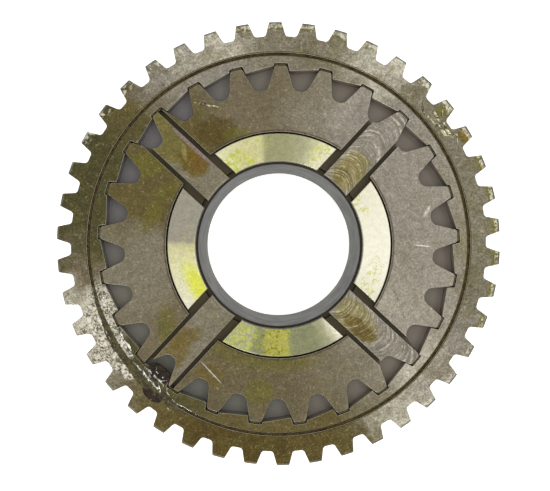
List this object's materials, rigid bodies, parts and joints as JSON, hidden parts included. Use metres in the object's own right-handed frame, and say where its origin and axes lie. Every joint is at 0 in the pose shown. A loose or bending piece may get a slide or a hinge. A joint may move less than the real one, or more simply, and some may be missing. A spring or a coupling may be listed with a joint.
{
  "type": "planetary gear coupling ring and hub",
  "caption": "Toothed coupling ring with a notched inner ring, locked on a toothed hub that carries radial keys, bronze thrust pads and a plain bore bush.",
  "frame": {"origin": "on the gear axis, at the rear face that the part lies on", "axes": "+Z along the gear axis, from the rear face towards the front face with the keys and pads"},
  "size_m": [0.176, 0.176, 0.046],
  "materials": {
    "gear_steel": "satin, oily",
    "bearing_bronze": "machined, bright",
    "ground_steel": "ground",
    "fastener_steel": "black oxide",
    "grease": "wet, glossy"
  },
  "bodies": {
    "coupling_ring": {"outer_gear_rim": "gear_steel", "notched_ring": "gear_steel", "seam_dowels": "fastener_steel", "rear_plate": "gear_steel", "plate_screws": "fastener_steel", "plate_dowels": "fastener_steel"},
    "hub": {"toothed_hub": "gear_steel", "radial_key_1": "gear_steel", "radial_key_2": "gear_steel", "radial_key_3": "gear_steel", "radial_key_4": "gear_steel", "thrust_pad_1": "bearing_bronze", "thrust_pad_2": "bearing_bronze", "thrust_pad_3": "bearing_bronze", "thrust_pad_4": "bearing_bronze", "key_screws": "fastener_steel", "pad_screws": "fastener_steel", "rear_thrust_ring": "bearing_bronze", "thrust_ring_screws": "fastener_steel"},
    "bush": {"bore_bush": "ground_steel"}
  },
  "joints": [
    {"name": "hub_slide", "type": "slide", "parent": "coupling_ring", "child": "hub", "axis": [0, 0, 1], "range_m": [0, 0.012]},
    {"name": "bush_spin", "type": "hinge", "parent": "hub", "child": "bush", "pos_m": [0, 0, 0.022], "axis": [0, 0, 1], "continuous": true}
  ]
}
